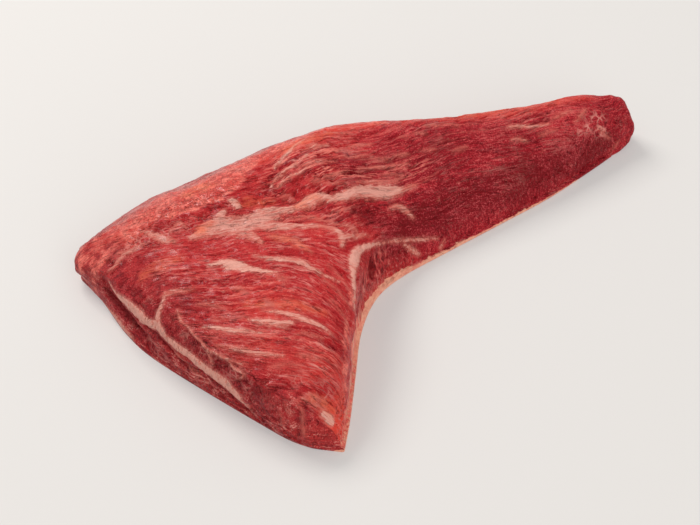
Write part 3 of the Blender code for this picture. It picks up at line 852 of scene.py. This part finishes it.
def lay_skin_attributes(mesh):
    """Grain, fat, membrane, cut face, grooves and depth of colour, with its painted shade and light, for each
    point of the skin.
    """
    points = point_values(mesh, "co") / MM
    normals = point_values(mesh, "normal")
    x, y, height = points.T
    upward = normals[:, 2]

    def patch(streaks, low, high, reach=12):
        """How strongly patches show, from low mm inside their edge to high mm inside."""
        depth, share, _ = streak_layers(points, streaks, reach)
        return smooth_step(low, high, depth) * share

    def facing(low, high, *way):
        """1 where the skin faces the way given, 0 where it faces elsewhere."""
        return smooth_step(low, high, normals @ np.array(way))

    top_depth, top_white, top_fray = streak_layers(points, TOP_FAT, least=FINEST)
    # fat laid from above stops where the skin turns down into a wall
    top_depth = top_depth - 6 * smooth_step(0.45, 0.15, upward)
    wall_depth, wall_white, wall_fray = streak_layers(points, WALL_FAT, least=FINEST)
    nearer_wall = wall_depth > top_depth
    fat = np.maximum(top_depth, wall_depth)

    # full along the back left edge and, as painted light, faintly down the lobe's right edge; about half at
    # the far left corner and on the back
    membrane = np.maximum(patch(MEMBRANE_AND_LIT_VEIL, -4, 4), 0.48 * patch(CORNER, -4, 4))
    behind = facing(0.05, 0.5, -0.5, 0.85, 0) * smooth_step(110, -10, x)
    membrane = np.maximum(membrane, 0.55 * behind)

    # the cut face looks to the front left, between the far left corner and the front tip
    face = facing(0.18, 0.5, -0.64, -0.77, 0) * smooth_step(10, -20, x) * smooth_step(20, 0, y)

    # the lobe's right wall shows the fat cap's pale side, up to a wavy height; the pale is also painted light
    # on a wall that faces away from the key light
    ledge = smooth_step(0.2, 0.4, normals[:, 0]) * smooth_step(8, 6, height)
    side = np.maximum(smooth_step(0.55, 0.85, normals[:, 0]), ledge) * smooth_step(-24, -40, y)
    side_top = np.interp(y, *np.array(SIDE_FAT_AND_LIGHT, float).T)
    side = side * smooth_step(-16, -10, x) * smooth_step(6, -6, height - side_top)

    # the fat cap's rim along the inner edge, and a low rim along the back
    inner = smooth_step(-17, -9, x) * facing(0.05, 0.25, 0.7, -0.7, 0)
    inner = inner * np.interp(x, *np.array(RIM_HEIGHT, float).T)
    inner = inner * (LOBE_RIM + (1 - LOBE_RIM) * smooth_step(-70, -54, y))
    rim_height = np.maximum(inner, 3.0 * facing(0.1, 0.4, -0.3, 0.95, 0))

    rough = patch(ROUGH, -12, 8, 24)
    stranded = patch(STRANDED, -6, 5) * (1 - 0.7 * membrane)
    silver = facing(0.35, 0.7, -0.5, 0.85, 0) * smooth_step(50, -60, x)
    sunk = carved(points, GROOVES)
    layers = {
        "across": fibre_field(points),
        "wall": smooth_step(0.62, 0.34, upward),
        "fat": fat,
        "fat_white": np.where(nearer_wall, wall_white, top_white),
        "fat_fray": np.where(nearer_wall, wall_fray, top_fray),
        "membrane": membrane,
        "cut_face": face,
        # darker lean: painted shade, and faintly the tail crown's own darker colour
        "deep_lean_and_shade": patch(DEEP_LEAN_AND_SHADE, -7, 5),
        # fresher lean, and a painted highlight along the tail's upper edge
        "fresh_and_lit": np.maximum(patch(FRESH_TIP, -5, 4), patch(FRESH_AND_LIT_TOP, -5, 3)),
        "side_fat_and_light": side,
        "rim": np.where(rim_height < 0.4, -3, rim_height - height),
        "rough": rough,
        "web": patch(WEBS, -5, 3),
        "tail": smooth_step(-30, 30, x) * smooth_step(-4, 24, y),
        "stranded": stranded,
        "amber": patch(AMBER, -3, 2),
        "striped": patch(STRIPED, -5, 3),
        "silver": silver * (0.5 + 0.5 * smooth_step(0.1, 0.5, upward)),
        "fibrous": (1 - 0.6 * membrane) * (1 - 0.6 * face) * (0.7 + 0.4 * rough + 0.6 * stranded),
        "relief": smooth_step(1.2, 4.5, height),
        "proud": (0.45 * smooth_step(-0.6, 1.0, fat) - sunk) * MM,
        # how far a groove's bottom is darkened with painted shade
        "sunk": smooth_step(0.3, 1.6, sunk),
    }
    for name, values in layers.items():
        layer = mesh.attributes.new(name, "FLOAT", "POINT")
        layer.data.foreach_set("value", np.asarray(values, np.float32))


def close_underside(mesh, slot):
    """Fills the open foot of the skin with one flat face, in triangles, and gives it its own finish."""
    bm = bmesh.new()
    bm.from_mesh(mesh)
    rim = [e for e in bm.edges if e.is_boundary]
    for edge in rim:
        for vert in edge.verts:
            vert.co.z = LOW.z
    made = bmesh.ops.holes_fill(bm, edges=rim, sides=0)["faces"]
    for face in made:
        face.material_index = slot
        face.smooth = False
    bmesh.ops.triangulate(bm, faces=made)
    bmesh.ops.recalc_face_normals(bm, faces=bm.faces[:])
    layer = bm.loops.layers.uv.get(MAP)
    scale = CAP_MAP / max(HIGH.x - LOW.x, HIGH.y - LOW.y)
    for face in bm.faces:
        for loop in face.loops:
            if face.material_index == slot:
                loop[layer].uv = (loop.vert.co - LOW).xy * scale
            else:
                loop[layer].uv.y = SKIN_FROM + (1 - SKIN_FROM) * loop[layer].uv.y
    bm.to_mesh(mesh)
    bm.free()


def meat_piece(sizes, colours):
    """The finished meat: subdivided skin, its attributes, fibre relief, closed underside."""
    piece = placed("tri_tip_meat", open_skin(NODE))
    spread_map(piece)
    smooth = piece.modifiers.new("fine skin", "SUBSURF")
    smooth.levels = sizes.skin_levels
    smooth.render_levels = sizes.skin_levels
    fine = apply_modifier(piece, smooth, "meat_fine")
    draw_corners(fine)
    lay_skin_attributes(fine)

    beef = raw_beef_material(colours)
    relief = piece.modifiers.new("fibre relief", "NODES")
    relief.node_group = fibre_relief_tree()
    set_inputs(relief, {
        "Fibre Height": sizes.fibre_height, "Fibre Width": sizes.fibre_width / MM,
        "Fibre Length": sizes.fibre_length / MM, "Crease Depth": sizes.crease_depth,
        "Lump Height": sizes.lump_height, "Crag Depth": sizes.crag_depth, "Material": beef})
    finished = apply_modifier(piece, relief, "tri_tip_meat")
    finished.materials.clear()
    finished.materials.append(beef)
    finished.materials.append(fat_cap_material(colours))
    close_underside(finished, 1)
    finished.shade_smooth()
    return piece


# ---------------------------------------------------------------- settings

def length(name, description, millimetres):
    """A length setting, given in mm."""
    return FloatProperty(
        name=name, description=description, default=millimetres * MM, unit="LENGTH", precision=5)


def amount(name, description, default):
    """A setting that is a plain number."""
    return FloatProperty(name=name, description=description, default=default)


def tint(name, description, *screen):
    """A colour setting, given as screen values."""
    return FloatVectorProperty(
        name=name, description=description, default=colour(*screen), subtype="COLOR", size=4, min=0, max=1)


class TriTipSizes(bpy.types.PropertyGroup):
    """Sizes of the meat's fine surface."""

    skin_levels: IntProperty(
        name="Skin levels", description="Subdivisions of the skin", default=2, min=0, max=2)
    fibre_height: length("Fibre height", "How proud the fibres stand", 1.4)
    fibre_width: length("Fibre width", "Width across a bundle of fibres", 2.6)
    fibre_length: length("Fibre length", "Length of a bundle along the grain", 24)
    crease_depth: length("Crease depth", "Depth where fibres part", 1.5)
    lump_height: length("Lump height", "Height of the small lumps", 1.15)
    crag_depth: length("Crag depth", "Depth of the folds where the meat is loose", 2.0)


class TriTipColours(bpy.types.PropertyGroup):
    """Colours of lean, fat and skin."""

    lean: tint("Lean", "Lit muscle", 190, 46, 47)
    pale_lean: tint("Pale lean", "Muscle under a thin veil", 222, 112, 100)
    bright_lean: tint("Bright lean", "Redder patches of muscle", 206, 50, 42)
    # fresher orange red lean, also the painted highlight along the tail's upper edge
    fresh_and_lit_lean: tint("Fresh lean", "Freshest orange red", 228, 74, 58)
    dark_lean: tint("Dark lean", "Between the fibres", 156, 15, 22)
    face_dark: tint("Cut lean", "Darker grain of the cut face", 124, 20, 28)
    face_lean: tint("Cut face", "Lean of the cut face", 178, 44, 46)
    # deep lean: the tail's and strands' dark grain, and the colour of the painted shade
    deep_lean_and_shade: tint("Deep lean", "Darkest muscle", 134, 12, 26)
    # the paler grain within the painted shade
    deep_and_shaded_grain: tint("Deep grain", "Paler grain in the darkest muscle", 178, 66, 70)
    crimson: tint("Crimson lean", "Muscle of the tail", 176, 30, 42)
    tail_pale: tint("Tail veil", "Paler grain of the tail", 204, 72, 74)
    # the colour of dark grain, and of the painted shade in creases, pits, grooves, wrinkles and the darker
    # lean
    crease: tint("Crease", "Where fibres part", 112, 7, 13)
    veil: tint("Veiled strand", "Strands under a thin pale veil", 232, 122, 108)
    marbling: tint("Marbling", "Thin fat between fibres", 232, 150, 138)
    fat: tint("Fat", "Pale fat", 226, 160, 144)
    fat_pink: tint("Pink fat", "Fat stained by lean", 210, 108, 94)
    membrane: tint("Membrane", "Pale skin over the lean", 250, 128, 112)
    membrane_dark: tint("Membrane shade", "Lean seen through the skin", 210, 66, 58)
    silverskin: tint("Silverskin", "Thin grey skin on the back", 158, 102, 102)
    rim: tint("Cap rim", "Edge of the fat cap", 248, 178, 148)
    rim_shade: tint("Rim shade", "Redder stretches of the cap's edge", 234, 136, 116)
    amber: tint("Amber fat", "Fat stained orange", 232, 112, 78)
    cap: tint("Cap fat", "Fat on the underside", 232, 208, 180)
    cap_shade: tint("Cap shade", "Shade in the cap fat", 214, 172, 142)


class TriTipStage(bpy.types.PropertyGroup):
    """Camera, light and floor."""

    aim: FloatVectorProperty(
        name="Aim", description="Where the camera looks", default=(-6.15 * MM, -2 * MM, 15 * MM),
        subtype="TRANSLATION", unit="LENGTH")
    elevation: FloatProperty(
        name="Elevation", description="Camera's height angle", default=math.radians(47), subtype="ANGLE",
        unit="ROTATION")
    distance: FloatProperty(
        name="Distance", description="From the camera to its aim", default=1.4, unit="LENGTH")
    lens: amount("Lens", "Focal length in millimetres", 129.6)
    key_power: amount("Key light", "Power of the soft light behind, on the left", 18.2)
    fill_power: amount("Fill light", "Power of the broad light in front, on the right", 10.6)
    room_light: amount("Room light", "Strength of light from all round", 0.57)
    floor_glow: amount("Floor glow", "Light coming up through the floor", 0.28)
    floor: tint("Floor", "Pale floor", 183, 177, 171)


# ---------------------------------------------------------------- operators

class TRITIP_OT_meat(bpy.types.Operator):
    """Make the meat over its solid"""

    bl_idname = "tritip.meat"
    bl_label = "Make the meat"

    def execute(self, context):
        piece = meat_piece(context.scene.tritip_sizes, context.scene.tritip_colours)
        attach(piece, "root")
        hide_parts(NODE)
        return {"FINISHED"}


def look_at(item, place, aim):
    """Puts a camera or light at a place, turned to its aim."""
    item.location = place
    item.rotation_euler = (Vector(aim) - Vector(place)).to_track_quat("-Z", "Y").to_euler()


def soft_light(name, power, size, place):
    """A square light aimed at the meat."""
    light = placed(name, bpy.data.lights.new(name, "AREA"))
    light.data.energy = power
    light.data.size = size
    look_at(light, place, (0, 0, 0))


class TRITIP_OT_stage(bpy.types.Operator):
    """Set the floor, the soft light and the camera"""

    bl_idname = "tritip.stage"
    bl_label = "Set the stage"

    def execute(self, context):
        scene = context.scene
        stage = scene.tritip_stage
        mesh = bpy.data.meshes.new("floor")
        corners = ((-1, -1), (1, -1), (1, 1), (-1, 1))
        z = LOW.z - FLOOR_GAP
        mesh.from_pydata([(x * FLOOR_HALF, y * FLOOR_HALF, z) for x, y in corners], [], [(0, 1, 2, 3)])
        mesh.materials.append(floor_material(stage.floor, stage.floor_glow))
        floor = placed("floor", mesh)

        camera = placed("camera", bpy.data.cameras.new("camera"))
        camera.data.lens = stage.lens
        camera.data.clip_end = 20
        aim = Vector(stage.aim)
        back = Vector((0, -math.cos(stage.elevation), math.sin(stage.elevation)))
        look_at(camera, aim + back * stage.distance, aim)
        scene.camera = camera

        soft_light("key light", stage.key_power, size=0.7, place=(-0.75, 0.75, 1.25))
        soft_light("fill light", stage.fill_power, size=1.4, place=(0.8, -1.2, 0.8))

        world = bpy.data.worlds.new("room")
        world.use_nodes = True
        background = world.node_tree.nodes["Background"]
        background.inputs["Color"].default_value = (1.0, 0.99, 0.98, 1)
        background.inputs["Strength"].default_value = stage.room_light
        scene.world = world
        scene.view_settings.view_transform = "Standard"
        return {"FINISHED"}


class TRITIP_PT_panel(bpy.types.Panel):
    """The tri-tip's steps in the sidebar"""

    bl_idname = "TRITIP_PT_panel"
    bl_label = "Raw tri-tip"
    bl_space_type = "VIEW_3D"
    bl_region_type = "UI"
    bl_category = "Tri-tip"

    def draw(self, context):
        for operator in OPERATORS:
            self.layout.operator(operator.bl_idname)
        for group in SETTINGS:
            box = self.layout.box()
            for name in SETTINGS[group].__annotations__:
                box.prop(getattr(context.scene, group), name)


OPERATORS = (TRITIP_OT_meat, TRITIP_OT_stage)
SETTINGS = {"tritip_sizes": TriTipSizes, "tritip_colours": TriTipColours, "tritip_stage": TriTipStage}
CLASSES = (*SETTINGS.values(), *OPERATORS, TRITIP_PT_panel)


def register():
    for item in CLASSES:
        bpy.utils.register_class(item)
    for name, group in SETTINGS.items():
        setattr(bpy.types.Scene, name, PointerProperty(type=group))


def unregister():
    for name in SETTINGS:
        delattr(bpy.types.Scene, name)
    for item in reversed(CLASSES):
        bpy.utils.unregister_class(item)


def main():
    register()
    bpy.ops.tritip.meat()
    bpy.ops.tritip.stage()


if __name__ == "__main__":
    main()
